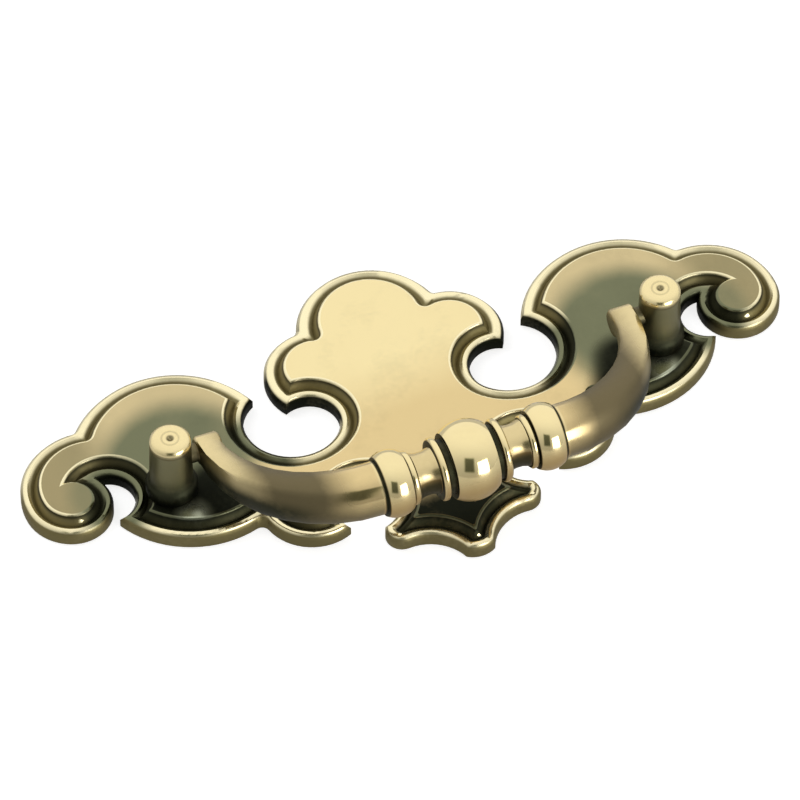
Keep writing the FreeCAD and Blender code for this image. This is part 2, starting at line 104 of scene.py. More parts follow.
@dataclass
class Graph:
    """A node tree with short ways to add the nodes that the finishes use."""

    tree: bpy.types.NodeTree

    def node(self, kind: str, **settings: object) -> bpy.types.Node:
        """Add a node and set its plain properties.

        Args:
            kind: The node's type name.
            settings: Property names and values.

        Returns:
            The new node.
        """
        made = self.tree.nodes.new(kind)
        for name, value in settings.items():
            setattr(made, name, value)
        return made

    def feed(self, socket: Socket, value: object) -> None:
        """Link a socket to another, or set its own value.

        Args:
            socket: The input that is fed.
            value: A socket, a number or a colour of three numbers.
        """
        if isinstance(value, bpy.types.NodeSocket):
            self.tree.links.new(value, socket)
        elif isinstance(value, tuple) and socket.type == "RGBA":
            socket.default_value = (*value, 1.0)
        else:
            socket.default_value = value

    def math(self, operation: str, *values: object, clamp: bool = False) -> Socket:
        """Add a Math node.

        Args:
            operation: The node's operation.
            values: What feeds its inputs.
            clamp: Whether the result is kept between 0 and 1.

        Returns:
            The node's result.
        """
        made = self.node("ShaderNodeMath", operation=operation, use_clamp=clamp)
        for place, value in enumerate(values):
            self.feed(made.inputs[place], value)
        return made.outputs[0]

    def ramp(
        self, value: object, low: float, high: float, to_low: float = 0.0, to_high: float = 1.0,
    ) -> Socket:
        """Map a value smoothly from one range to another, clamped at both ends.

        Args:
            value: What is mapped.
            low: The value that gives to_low.
            high: The value that gives to_high.
            to_low: The result at low.
            to_high: The result at high.

        Returns:
            The mapped value.
        """
        made = self.node("ShaderNodeMapRange", interpolation_type="SMOOTHSTEP")
        for name, number in (("From Min", low), ("From Max", high), ("To Min", to_low), ("To Max", to_high)):
            made.inputs[name].default_value = number
        self.feed(made.inputs["Value"], value)
        return made.outputs["Result"]

    def mix(self, share: object, first: object, second: object) -> Socket:
        """Mix two colours.

        Args:
            share: How much of the second colour.
            first: The colour at 0.
            second: The colour at 1.

        Returns:
            The mixed colour.
        """
        made = self.node("ShaderNodeMix", data_type="RGBA")
        self.feed(made.inputs[0], share)
        self.feed(made.inputs[6], first)
        self.feed(made.inputs[7], second)
        return made.outputs[2]

    def mix_number(self, share: object, first: object, second: object) -> Socket:
        """Mix two numbers.

        Args:
            share: How much of the second number.
            first: The number at 0.
            second: The number at 1.

        Returns:
            The mixed number.
        """
        made = self.node("ShaderNodeMix", data_type="FLOAT")
        for place, value in enumerate((share, first, second)):
            self.feed(made.inputs[(0, 2, 3)[place]], value)
        return made.outputs[0]

    def parts(self, vector: Socket) -> list[Socket]:
        """Split a vector.

        Args:
            vector: The vector.

        Returns:
            Its three parts.
        """
        made = self.node("ShaderNodeSeparateXYZ")
        self.feed(made.inputs[0], vector)
        return list(made.outputs)

    def product(self, *values: object) -> Socket:
        """Multiply values.

        Args:
            values: Two or more sockets or numbers.

        Returns:
            Their product.
        """
        return reduce(lambda first, second: self.math("MULTIPLY", first, second), values)

    def strongest(self, *values: object) -> Socket:
        """Find the greatest of some values.

        Args:
            values: Two or more sockets or numbers.

        Returns:
            The greatest.
        """
        return reduce(lambda first, second: self.math("MAXIMUM", first, second), values)

    def distance(self, first: tuple[Socket, float], second: tuple[Socket, float]) -> Socket:
        """Measure the distance from a point in a plane.

        Args:
            first: A coordinate, and the point's.
            second: The other coordinate, and the point's.

        Returns:
            The distance.
        """
        squares = [self.math("POWER", self.math("SUBTRACT", *pair), 2.0) for pair in (first, second)]
        return self.math("SQRT", self.math("ADD", *squares))

    def rise(self, value: object, span: Span) -> Socket:
        """Rise from 0 to 1 over a span of a value.

        Args:
            value: The value.
            span: Where it begins and where it ends.

        Returns:
            The share.
        """
        return self.ramp(value, *span)

    def fall(self, value: object, span: Span) -> Socket:
        """Fall from 1 to 0 over a span of a value.

        Args:
            value: The value.
            span: Where it begins and where it ends.

        Returns:
            The share.
        """
        return self.ramp(value, *span, 1.0, 0.0)

    def band(self, value: object, spans: Band) -> Socket:
        """Rise from 0 to 1 over one span of a value and fall back over the next.

        Args:
            value: The value.
            spans: The two spans.

        Returns:
            The share.
        """
        rising, falling = spans
        return self.product(self.rise(value, rising), self.fall(value, falling))

    def vary(self, value: object, noise: Socket, amount: float, clamp: bool = False) -> Socket:
        """Raise and lower a value by a noise.

        Args:
            value: The value.
            noise: The noise, about 0 to 1.
            amount: How much the noise counts.
            clamp: Whether the result is kept between 0 and 1.

        Returns:
            The uneven value.
        """
        return self.math("MULTIPLY_ADD", self.math("SUBTRACT", noise, 0.5), amount, value, clamp=clamp)

    def noise(self, place: Socket, scale: float, detail: float, roughness: float = 0.5) -> Socket:
        """Add a noise pattern.

        Args:
            place: The coordinates that it is read at.
            scale: Its scale.
            detail: Its detail.
            roughness: Its roughness.

        Returns:
            The noise, about 0 to 1.
        """
        made = self.node("ShaderNodeTexNoise")
        self.feed(made.inputs["Vector"], place)
        made.inputs["Scale"].default_value = scale
        made.inputs["Detail"].default_value = detail
        made.inputs["Roughness"].default_value = roughness
        return made.outputs["Fac"]


def tarnish_group() -> bpy.types.NodeTree:
    """Build the group that every brass finish shares: tone by rubbing and painted light, clouding, and the
    cast grain.

    Returns:
        A group from a place and a share of rubbing and painted light to a colour, a roughness and a height.
    """
    tree = bpy.data.node_groups.new("tarnish", "ShaderNodeTree")
    for name, kind, way in (
        ("Place", "NodeSocketVector", "INPUT"),
        ("Rubbed", "NodeSocketFloat", "INPUT"),
        ("Bright", "NodeSocketColor", "INPUT"),
        ("Dull", "NodeSocketColor", "INPUT"),
        ("Gloss", "NodeSocketFloat", "INPUT"),
        ("Color", "NodeSocketColor", "OUTPUT"),
        ("Roughness", "NodeSocketFloat", "OUTPUT"),
        ("Height", "NodeSocketFloat", "OUTPUT"),
    ):
        tree.interface.new_socket(name=name, in_out=way, socket_type=kind)
    graph = Graph(tree)
    given = graph.node("NodeGroupInput").outputs
    result = graph.node("NodeGroupOutput").inputs
    clouds = graph.noise(given["Place"], scale=140.0, detail=3.0, roughness=0.55)
    specks = graph.noise(given["Place"], scale=1500.0, detail=2.0, roughness=0.6)
    waves = graph.noise(given["Place"], scale=320.0, detail=2.0)
    share = graph.vary(graph.vary(given["Rubbed"], clouds, amount=0.32), specks, amount=0.10, clamp=True)
    graph.feed(result["Color"], graph.mix(share, given["Dull"], given["Bright"]))
    dull_roughness = 0.5
    rough = graph.math("SUBTRACT", dull_roughness, graph.product(share, given["Gloss"]))
    graph.feed(result["Roughness"], graph.vary(rough, specks, amount=0.08))
    grain_left, wave_share = 0.15, 0.8
    grain = graph.product(specks, graph.ramp(share, 0.0, 1.0, 1.0, grain_left))
    graph.feed(result["Height"], graph.math("ADD", grain, graph.product(waves, wave_share)))
    return tree


@dataclass(frozen=True)
class Spot:
    """What a finish reads at each spot of its piece's surface. Lengths are in millimetres.

    Attributes:
        place: Where the spot is on the piece, in metres.
        across: How far right of the pull's middle it is.
        aside: How far to either side of the middle it is.
        height: How high off the plate's back it is.
        up: How far above the posts' axes it is.
        facing: How far the surface faces away from the drawer.
        outward: How far it faces away from the pull's middle.
        upward: How far it faces up.
    """

    place: Socket
    across: Socket
    aside: Socket
    height: Socket
    up: Socket
    facing: Socket
    outward: Socket
    upward: Socket

    @classmethod
    def read(cls, graph: Graph) -> "Spot":
        """Read the spot in a material.

        Args:
            graph: The material's graph.

        Returns:
            The spot.
        """
        given = graph.node("ShaderNodeTexCoord").outputs
        across, out, up = (graph.math("DIVIDE", part, MM) for part in graph.parts(given["Object"]))
        rightward, inward, upward = graph.parts(given["Normal"])
        return cls(
            place=given["Object"],
            across=across,
            aside=graph.math("ABSOLUTE", across),
            height=graph.math("MULTIPLY", out, -1.0),
            up=up,
            facing=graph.math("MULTIPLY", inward, -1.0),
            outward=graph.math("MULTIPLY", rightward, graph.math("SIGN", across)),
            upward=upward,
        )

    def away(self, graph: Graph, middle: Place) -> Socket:
        """Measure how far the spot is from a place on the plate, on either side.

        Args:
            graph: The material's graph.
            middle: The place.

        Returns:
            The distance.
        """
        return graph.distance((self.aside, middle[0]), (self.up, middle[1]))


@dataclass(frozen=True)
class BrassFinish:
    """Antique brass: how tones, rubbing and painted light and shade lie on one piece.

    Attributes:
        name: The material's name.
        tarnish: The shared group.
        bump: How far the grain stands, in metres.
        bump_strength: How strongly the grain turns the light.
        gloss: How much less rough the rubbed brass is than the dull.
    """

    name: str
    tarnish: bpy.types.NodeTree
    bump: float = 0.00003
    bump_strength: float = 0.5
    gloss: float = 0.3

    def start(self) -> tuple[bpy.types.Material, Graph, Spot]:
        """Begin the material.

        Returns:
            The material, its graph and the spot that it is read at.
        """
        material = bpy.data.materials.new(self.name)
        material.use_nodes = True
        graph = Graph(material.node_tree)
        return material, graph, Spot.read(graph)

    def end(self, graph: Graph, spot: Spot, rubbed: Socket, bright: object, dull: object) -> None:
        """Lead the tones through the tarnish to the shader.

        Args:
            graph: The material's graph.
            spot: The spot on the piece.
            rubbed: How far the surface is rubbed bright, painted light and shade included.
            bright: The colour where it is rubbed.
            dull: The colour where it isn't.
        """
        tarnish = graph.node("ShaderNodeGroup", node_tree=self.tarnish)
        for name, value in (("Place", spot.place), ("Rubbed", rubbed), ("Bright", bright), ("Dull", dull)):
            graph.feed(tarnish.inputs[name], value)
        tarnish.inputs["Gloss"].default_value = self.gloss
        shader = graph.tree.nodes["Principled BSDF"]
        shader.inputs["Metallic"].default_value = 1.0
        graph.feed(shader.inputs["Base Color"], tarnish.outputs["Color"])
        graph.feed(shader.inputs["Roughness"], tarnish.outputs["Roughness"])
        bump = graph.node("ShaderNodeBump")
        bump.inputs["Strength"].default_value = self.bump_strength
        bump.inputs["Distance"].default_value = self.bump
        graph.feed(bump.inputs["Height"], tarnish.outputs["Height"])
        graph.feed(shader.inputs["Normal"], bump.outputs["Normal"])


@dataclass(frozen=True)
class PlateFinish(BrassFinish):
    """The plate: a bright middle, duller wings, dark hollows and walls, rubbed crests, and painted shade and
    highlights.

    Attributes:
        middle: Across which the bright middle gives way to the wings, at the height of the posts.
        middle_lean: How much narrower the middle is for each millimetre up.
        warm: Going down which the middle grows warmer.
        scroll: Across which the wings turn to the tone of the scrolls.
        shade: The middle of the grey about each post.
        shade_reach: Where that grey fades.
        slot: The middle of the dark about each outer slot, partly tarnish and partly painted shade.
        slot_reach: Where that dark fades.
        bite_aside: Where the dark beside each inner scroll, partly tarnish and partly painted shade, lies
            across.
        bite_up: Where it lies upwards.
        drop: Going up which the painted shade on the drop, under the bail, ends.
        inner_floor: Across which the top of the lower lobes' dark rises, and from and to which level.
        outer_floor: Across which it falls again beyond the slots, and from and to which level.
        above_floor: Going up which the dark of the lower lobes, partly tarnish and partly painted shade,
            ends.
        knuckle: The middle of the painted shadow on the field under each knuckle.
        knuckle_reach: Where that painted shadow ends.
        reflection_spot: The middle of the painted reflection in each lower lobe.
        reflection_spot_reach: Where that painted reflection fades.
        field_edge_highlight: The heights between which the field's edge gets a painted highlight line.
        field_heights: The heights over which the slope turns to the field.
        rim_inset: How far in the rim's line gives way to the field's tone.
        field_inset: How far in the field begins.
        wall_inset: How far in the wall gives way to the hollow.
        crest_inset: How far in the rubbing of the rim's crest ends.
        crest_heights: The heights over which that rubbing begins.
        crest_highlight_lean: How far up a wall has to face to get the crest's brightness, a painted
            highlight.
        far_slope: How far down the rim's inner slope faces where that painted highlight reaches farther in.
        far_highlight_reach: How much farther in it reaches.
        hollow_heights: The heights over which the hollow's floor turns to its black slope, and the field to
            the black that shows where it is unlit.
        wall_up: Going up which the walls turn black.
        wall_end: Across which the walls are bright again.
        back_facing: How far towards the drawer the surface faces where it counts as the back.
        slot_grey: The share of the grey in the dark about the outer slots.
        grey_mottle: How unevenly the grey lies.
        warm_mottle: How unevenly the warmer tone lies.
        reflection_spot_strength: How bright and glossy the painted reflections are.
        reflection_spot_pale: How far they are paler than the field about them.
        edge_highlight_strength: How strong the painted highlight along the field's edge is wherever it lies.
        back_rub: How far the back is rubbed.
    """

    middle: Span = (20.0, 28.0)
    middle_lean: float = 0.35
    warm: Span = (13.0, -1.0)
    scroll: Span = (42.0, 50.0)
    shade: Place = (35.0, 3.0)
    shade_reach: Span = (9.0, 14.0)
    slot: Place = (46.0, 2.0)
    slot_reach: Span = (5.0, 8.5)
    bite_aside: Band = ((18.0, 21.0), (28.0, 33.0))
    bite_up: Band = ((-10.0, -5.0), (7.0, 11.0))
    drop: Span = (-18.5, -14.5)
    inner_floor: tuple[Span, Span] = ((20.0, 30.0), (-14.0, 0.0))
    outer_floor: tuple[Span, Span] = ((45.0, 51.0), (0.0, -8.0))
    above_floor: Span = (-3.5, 4.5)
    knuckle: Place = (32.0, -1.5)
    knuckle_reach: Span = (2.0, 5.5)
    reflection_spot: Place = (36.8, -5.6)
    reflection_spot_reach: Span = (0.8, 3.4)
    field_edge_highlight: Band = ((2.95, 3.08), (3.2, 3.25))
    field_heights: Span = (2.85, 3.1)
    rim_inset: Span = (1.6, 1.9)
    field_inset: Span = (1.85, 2.0)
    wall_inset: Span = (0.6, 1.4)
    crest_inset: Span = (1.3, 1.65)
    crest_heights: Span = (1.85, 2.25)
    crest_highlight_lean: Span = (0.1, 0.5)
    far_slope: Span = (-0.35, -0.05)
    far_highlight_reach: float = 0.36
    hollow_heights: Span = (2.4, 3.0)
    wall_up: Span = (-2.0, 2.0)
    wall_end: Span = (49.0, 52.0)
    back_facing: Span = (-0.9, -0.6)
    slot_grey: float = 0.6
    grey_mottle: float = 0.7
    warm_mottle: float = 0.8
    reflection_spot_strength: float = 0.95
    reflection_spot_pale: float = 0.7
    edge_highlight_strength: float = 0.6
    back_rub: float = 0.25

    def face(self, graph: Graph, spot: Spot, by_slot: Socket) -> Socket:
        """Colour the field: bright in the middle, grey about the posts, straw on the scrolls.

        Args:
            graph: The material's graph.
            spot: The spot on the plate.
            by_slot: How near an outer slot it is.

        Returns:
            The colour.
        """
        mottled = graph.noise(spot.place, scale=60.0, detail=4.0, roughness=0.6)
        by_post = graph.fall(spot.away(graph, self.shade), self.shade_reach)
        grey = graph.strongest(by_post, graph.product(by_slot, self.slot_grey))
        grey = graph.vary(grey, mottled, self.grey_mottle, clamp=True)
        scroll = graph.mix(graph.rise(spot.aside, self.scroll), Tone.TAN.value, Tone.STRAW.value)
        wing = graph.mix(grey, scroll, Tone.GREY_GREEN.value)
        warmed = graph.vary(graph.rise(spot.up, self.warm), mottled, self.warm_mottle)
        centre = graph.mix(graph.math("MINIMUM", warmed, 1.0), Tone.BRIGHT.value, Tone.GOLD.value)
        leaning = graph.math("MULTIPLY_ADD", spot.up, self.middle_lean, spot.aside)
        return graph.mix(graph.fall(leaning, self.middle), wing, centre)

    def lit(self, graph: Graph, spot: Spot) -> Socket:
        """Tell where the field is painted lit: not on the drop, in the lower lobes or under the knuckles,
        where shade is painted.

        Args:
            graph: The material's graph.
            spot: The spot on the plate.

        Returns:
            The share that is painted lit.
        """
        # The lower lobes hold tarnish and painted shade; the drop and the field under the knuckles hold
        # painted shade.
        floors = (self.inner_floor, self.outer_floor)
        floor = graph.math("ADD", *(graph.ramp(spot.aside, *span, *levels) for span, levels in floors))
        above = graph.rise(graph.math("SUBTRACT", spot.up, floor), self.above_floor)
        clear = graph.rise(spot.away(graph, self.knuckle), self.knuckle_reach)
        return graph.product(graph.rise(spot.up, self.drop), above, clear)

    def crest(self, graph: Graph, spot: Spot, inset: Socket) -> Socket:
        """Tell where the rim's crest is rubbed, and where painted highlights lie on its walls and slopes by
        the way they face.

        Args:
            graph: The material's graph.
            spot: The spot on the plate.
            inset: How far in from the wall it is.

        Returns:
            The share that is rubbed, painted highlights included.
        """
        # Rubbed by its height on the crest; a painted highlight on walls that face up.
        outside = graph.strongest(
            graph.rise(spot.height, self.crest_heights), graph.rise(spot.upward, self.crest_highlight_lean),
        )
        # Slopes that face down carry the painted highlight farther in.
        reached = graph.math("SUBTRACT", inset, graph.ramp(spot.upward, *self.far_slope, self.far_highlight_reach, 0.0))
        return graph.product(outside, graph.fall(reached, self.crest_inset))

    def hollow(self, graph: Graph, spot: Spot, inset: Socket, lit_and_clean: Socket) -> Socket:
        """Colour the groove and the walls, and the field's dull tone, which is black and shows wherever
        shade is painted.

        Args:
            graph: The material's graph.
            spot: The spot on the plate.
            inset: How far in from the wall it is.
            lit_and_clean: The share of the field beside it that is painted lit and clear of the dark about
                the slots and bites.

        Returns:
            The colour.
        """
        # The groove's tarnish is darker still beside the field's painted shade.
        groove = graph.mix(lit_and_clean, Tone.DARK.value, Tone.OLIVE.value)
        groove = graph.mix(graph.rise(spot.height, self.hollow_heights), groove, Tone.BLACK.value)
        wall = graph.mix(graph.rise(spot.up, self.wall_up), Tone.OLIVE.value, Tone.BLACK.value)
        wall = graph.mix(graph.rise(spot.aside, self.wall_end), wall, Tone.OLIVE.value)
        return graph.mix(graph.rise(inset, self.wall_inset), wall, groove)

    def build(self) -> bpy.types.Material:
        """Make the plate's material.

        Returns:
            The material.
        """
        material, graph, spot = self.start()
        inset = graph.node("ShaderNodeAttribute", attribute_name="inset").outputs["Fac"]
        # Dark about the outer slots and beside the inner scrolls: tarnish in the hollows and painted shade.
        by_slot = graph.fall(spot.away(graph, self.slot), self.slot_reach)
        by_bite = graph.product(graph.band(spot.aside, self.bite_aside), graph.band(spot.up, self.bite_up))
        aged_and_shaded = graph.strongest(by_slot, by_bite)
        lit = self.lit(graph, spot)
        lit_and_clean = graph.product(lit, graph.math("SUBTRACT", 1.0, aged_and_shaded))
        # A pale, glossy spot in each lower lobe is a painted reflection.
        reflection_spot = graph.product(graph.fall(spot.away(graph, self.reflection_spot), self.reflection_spot_reach), self.reflection_spot_strength)
        # A painted highlight line along the field's edge.
        edge = graph.band(spot.height, self.field_edge_highlight)
        back = graph.fall(spot.facing, self.back_facing)

        edge_highlight_line = graph.mix(lit_and_clean, Tone.GREY_GREEN.value, Tone.CREAM.value)
        face = graph.mix(edge, self.face(graph, spot, by_slot), edge_highlight_line)
        rim = graph.mix(aged_and_shaded, Tone.CREAM.value, Tone.GREY_GREEN.value)
        bright = graph.mix(graph.rise(inset, self.rim_inset), rim, face)
        bright = graph.mix(graph.product(reflection_spot, self.reflection_spot_pale), bright, Tone.SAGE.value)

        top = graph.product(graph.rise(spot.height, self.field_heights), graph.strongest(lit, reflection_spot))
        top = graph.strongest(top, graph.product(edge, self.edge_highlight_strength))
        top = graph.product(top, graph.rise(inset, self.field_inset))
        rubbed = graph.strongest(top, self.crest(graph, spot, inset))
        rubbed = graph.mix_number(back, rubbed, self.back_rub)

        dull = graph.mix(back, self.hollow(graph, spot, inset, lit_and_clean), Tone.OLIVE.value)
        self.end(graph, spot, rubbed, graph.mix(back, bright, Tone.TAN.value), dull)
        return material


@dataclass(frozen=True)
class PostFinish(BrassFinish):
    """A post: a bright top with a dark dimple, a duller shaft and a dark foot of tarnish and painted shade.

    Attributes:
        axis: How far the post's axis lies from the plate's middle, in millimetres.
        foot: The heights over which the dark foot, tarnish and painted shade where it meets the plate, ends.
        shaft_rub: The heights over which the shaft begins to be rubbed.
        shaft_share: How far the shaft is rubbed.
        under_top: The heights over which the shaft darkens under its top.
        top_tone: The heights over which the top's tone begins.
        top: The heights over which the top begins to be rubbed.
        dimple: The distances from the axis over which the dimple ends.
        ring: The distances from the axis between which the turned ring lies.
        ring_dull: How much less the turned ring is rubbed.
    """

    axis: float = 38.1
    foot: Span = (4.0, 9.0)
    shaft_rub: Span = (5.0, 9.0)
    shaft_share: float = 0.35
    under_top: Span = (12.9, 13.4)
    top_tone: Span = (13.2, 13.6)
    top: Span = (13.5, 14.0)
    dimple: Span = (0.3, 0.75)
    ring: Band = ((1.0, 1.2), (1.25, 1.5))
    ring_dull: float = 0.25

    def build(self) -> bpy.types.Material:
        """Make a post's material.

        Returns:
            The material.
        """
        material, graph, spot = self.start()
        from_axis = spot.away(graph, (self.axis, 0.0))
        dull = graph.mix(graph.rise(spot.height, self.foot), Tone.BLACK.value, Tone.GREY_GREEN.value)
        dull = graph.mix(graph.rise(spot.height, self.under_top), dull, Tone.DARK.value)
        outside_ring = graph.math("MULTIPLY_ADD", graph.band(from_axis, self.ring), -self.ring_dull, 1.0)
        outside_dimple = graph.rise(from_axis, self.dimple)
        top = graph.product(graph.rise(spot.height, self.top), outside_dimple, outside_ring)
        rubbed = graph.strongest(top, graph.ramp(spot.height, *self.shaft_rub, 0.0, self.shaft_share))
        bright = graph.mix(graph.rise(spot.height, self.top_tone), Tone.STRAW.value, Tone.BRIGHT.value)
        self.end(graph, spot, rubbed, bright, dull)
        return material


@dataclass(frozen=True)
class BailFinish(BrassFinish):
    """The bail: bright beads with dark quirks between them, arms rubbed bright in front, and painted shade
    on undersides, cheeks and pins.

    Attributes:
        grip: The grip's axis, as its height off the plate's back and its place up, in millimetres.
        pivot: The pivot's height off the plate's back, in millimetres.
        tilt: How much farther off it the arms lie for each millimetre down.
        barrel_quirk: Where the quirk beside the barrel lies across.
        quirk_depth: The distances from the grip's axis over which that quirk ends.
        seam: Where the seam between a bead and its ring lies.
        joint: Where the joint between a bead and its arm lies.
        neck: Where the neck lies.
        grip_end: Across which the grip ends.
        arm_start: Across which the arm begins.
        pin_start: Across which the pin begins.
        inner_wear: Across which the wear beside the grip ends.
        shift: How far that end moves, inwards on the right and outwards on the left, painting the left arm
            more lit than the right.
        shift_half: How far to either side of the middle that shift is full.
        outer_wear: Across which the wear of the knuckle begins.
        knuckle_tone: Across which the arm turns back to the knuckle's brighter tone.
        cheek: Across which the painted shade on the outer cheeks begins.
        cheek_depth: The heights off the arm's middle over which that painted shade ends.
        view: How much facing out and facing up count towards being seen, which sets the painted shade.
        underside: How little is seen where the painted shade on the grip's underside begins.
        underside_shade: How much that painted shade dulls the underside.
        pin_shade: How much the painted shade in the gap beside the posts dulls the pins.
        neck_seen: How much is seen where the painted shade on the necks fades.
        neck_shade: How dark that painted shade is before and after.
        ring_lean: How far sideways the faces of the rings are turned where they get painted shade.
        cheek_lean: How far sideways the cheeks are turned.
        cheek_rest: The share of that painted shade that is left in front.
        front_lean: How far the arms face out where they are rubbed and painted with a highlight.
        front_wear_and_highlight: How far they are rubbed and painted lit behind and in front.
        grip_rub: How far the arms are rubbed beside the grip.
        bend_rub: How far they are rubbed at the bend, less than nothing so that clouds leave it dull too.
        knuckle_rub: How far they are rubbed at the knuckles.
        knuckle_gold: The share of the arm's tone that is left at the knuckles.
    """

    grip: Place = (15.3, -19.8)
    pivot: float = 9.6
    tilt: float = 0.288
    barrel_quirk: Band = ((3.15, 3.3), (4.1, 4.25))
    quirk_depth: Span = (4.2, 4.5)
    seam: Band = ((9.35, 9.6), (9.65, 9.8))
    joint: Band = ((13.4, 13.6), (13.9, 14.15))
    neck: Band = ((5.2, 5.4), (8.4, 8.6))
    grip_end: Span = (13.2, 13.8)
    arm_start: Span = (13.9, 14.5)
    pin_start: Span = (34.0, 34.3)
    inner_wear: Span = (15.0, 22.5)
    shift: float = 1.5
    shift_half: float = 5.0
    outer_wear: Span = (26.5, 33.5)
    knuckle_tone: Span = (24.0, 32.0)
    cheek: Span = (20.0, 28.0)
    cheek_depth: Span = (-1.0, 1.4)
    view: tuple[float, float] = (0.65, 0.75)
    underside: Span = (-0.8, -0.1)
    underside_shade: float = 0.75
    pin_shade: float = 0.85
    neck_seen: Span = (-0.6, 0.0)
    neck_shade: Span = (0.95, 0.3)
    ring_lean: Span = (0.75, 0.95)
    cheek_lean: Span = (0.1, 0.6)
    cheek_rest: float = 0.15
    front_lean: Span = (-0.2, 0.6)
    front_wear_and_highlight: Span = (0.2, 0.95)
    grip_rub: float = 1.0
    bend_rub: float = -0.15
    knuckle_rub: float = 0.9
    knuckle_gold: float = 0.3

    def tarnish_and_shade(self, graph: Graph, spot: Spot, seen: Socket) -> Socket:
        """Tell where the grip is dark: tarnish in its quirks and joints, painted shade on its necks and its
        rings' faces.

        Args:
            graph: The material's graph.
            spot: The spot on the bail.
            seen: How far it faces up and out.

        Returns:
            The share that is dark.
        """
        from_axis = graph.distance((spot.height, self.grip[0]), (spot.up, self.grip[1]))
        quirk = graph.band(spot.aside, self.barrel_quirk)
        quirk = graph.product(quirk, graph.fall(from_axis, self.quirk_depth))
        seam = graph.band(spot.aside, self.seam)
        joint = graph.band(spot.aside, self.joint)
        # Painted shade on the necks, less where they face up and out.
        neck_shade = graph.ramp(seen, *self.neck_seen, *self.neck_shade)
        neck = graph.product(graph.band(spot.aside, self.neck), neck_shade)
        # Painted shade on the rings' sideways faces.
        sideways = graph.rise(graph.math("ABSOLUTE", spot.outward), self.ring_lean)
        ring_face = graph.product(graph.fall(spot.aside, self.grip_end), sideways)
        return graph.strongest(quirk, seam, neck, joint, ring_face)

    def outer_cheek_shade(self, graph: Graph, spot: Spot) -> Socket:
        """Tell where the outer cheeks of the arms get painted shade, towards the knuckles.

        Args:
            graph: The material's graph.
            spot: The spot on the bail.

        Returns:
            The share that is dark.
        """
        above_pivot = graph.math("SUBTRACT", spot.height, self.pivot)
        depth = graph.math("MULTIPLY_ADD", spot.up, self.tilt, above_pivot)
        sideways = graph.rise(spot.outward, self.cheek_lean)
        low = graph.ramp(depth, *self.cheek_depth, 1.0, self.cheek_rest)
        return graph.product(sideways, graph.rise(spot.aside, self.cheek), low)

    def arm(self, graph: Graph, spot: Spot, cheek: Socket) -> Socket:
        """Tell where the arms are rubbed: in front, where a painted highlight joins the wear, beside the
        grip and at the knuckles.

        Args:
            graph: The material's graph.
            spot: The spot on the bail.
            cheek: Where their outer cheeks carry painted shade.

        Returns:
            The share that is rubbed.
        """
        # The shift paints the left arm more lit than the right.
        shift = graph.ramp(spot.across, -self.shift_half, self.shift_half, -self.shift, self.shift)
        shifted = graph.math("ADD", spot.aside, shift)
        inner = graph.ramp(shifted, *self.inner_wear, self.grip_rub, self.bend_rub)
        outer = graph.ramp(spot.aside, *self.outer_wear, self.bend_rub, self.knuckle_rub)
        # Faces turned out are lighter: wear, and a painted highlight.
        front = graph.ramp(spot.facing, *self.front_lean, *self.front_wear_and_highlight)
        return graph.product(front, graph.strongest(inner, outer), graph.math("SUBTRACT", 1.0, cheek))

    def build(self) -> bpy.types.Material:
        """Make the bail's material.

        Returns:
            The material.
        """
        material, graph, spot = self.start()
        by_facing = graph.product(spot.facing, self.view[0])
        seen = graph.math("MULTIPLY_ADD", spot.upward, self.view[1], by_facing)
        tarnish_and_shade = self.tarnish_and_shade(graph, spot, seen)
        cheek = self.outer_cheek_shade(graph, spot)
        on_arm = graph.rise(spot.aside, self.arm_start)
        pin = graph.rise(spot.aside, self.pin_start)

        # Painted shade on the undersides of the beads.
        underside = graph.product(graph.fall(seen, self.underside), self.underside_shade)
        bead = graph.math("SUBTRACT", graph.math("SUBTRACT", 1.0, tarnish_and_shade), underside)
        rubbed = graph.mix_number(on_arm, graph.strongest(bead, 0.0), self.arm(graph, spot, cheek))
        # The pins sit in the gap beside the posts: painted shade.
        rubbed = graph.product(rubbed, graph.math("MULTIPLY_ADD", pin, -self.pin_shade, 1.0))

        knuckle_tone = graph.ramp(spot.aside, *self.knuckle_tone, 1.0, self.knuckle_gold)
        arm_tone = graph.product(on_arm, knuckle_tone)
        bright = graph.mix(arm_tone, Tone.BRIGHT.value, Tone.GOLD.value)
        dull = graph.mix(on_arm, Tone.AMBER.value, Tone.BROWN.value)
        # Dark for tarnish in the quirks and joints, and for painted shade on cheeks, necks, ring faces and
        # pins.
        dull = graph.mix(graph.strongest(cheek, tarnish_and_shade, pin), dull, Tone.DARK.value)
        self.end(graph, spot, rubbed, bright, dull)
        return material


# Pieces

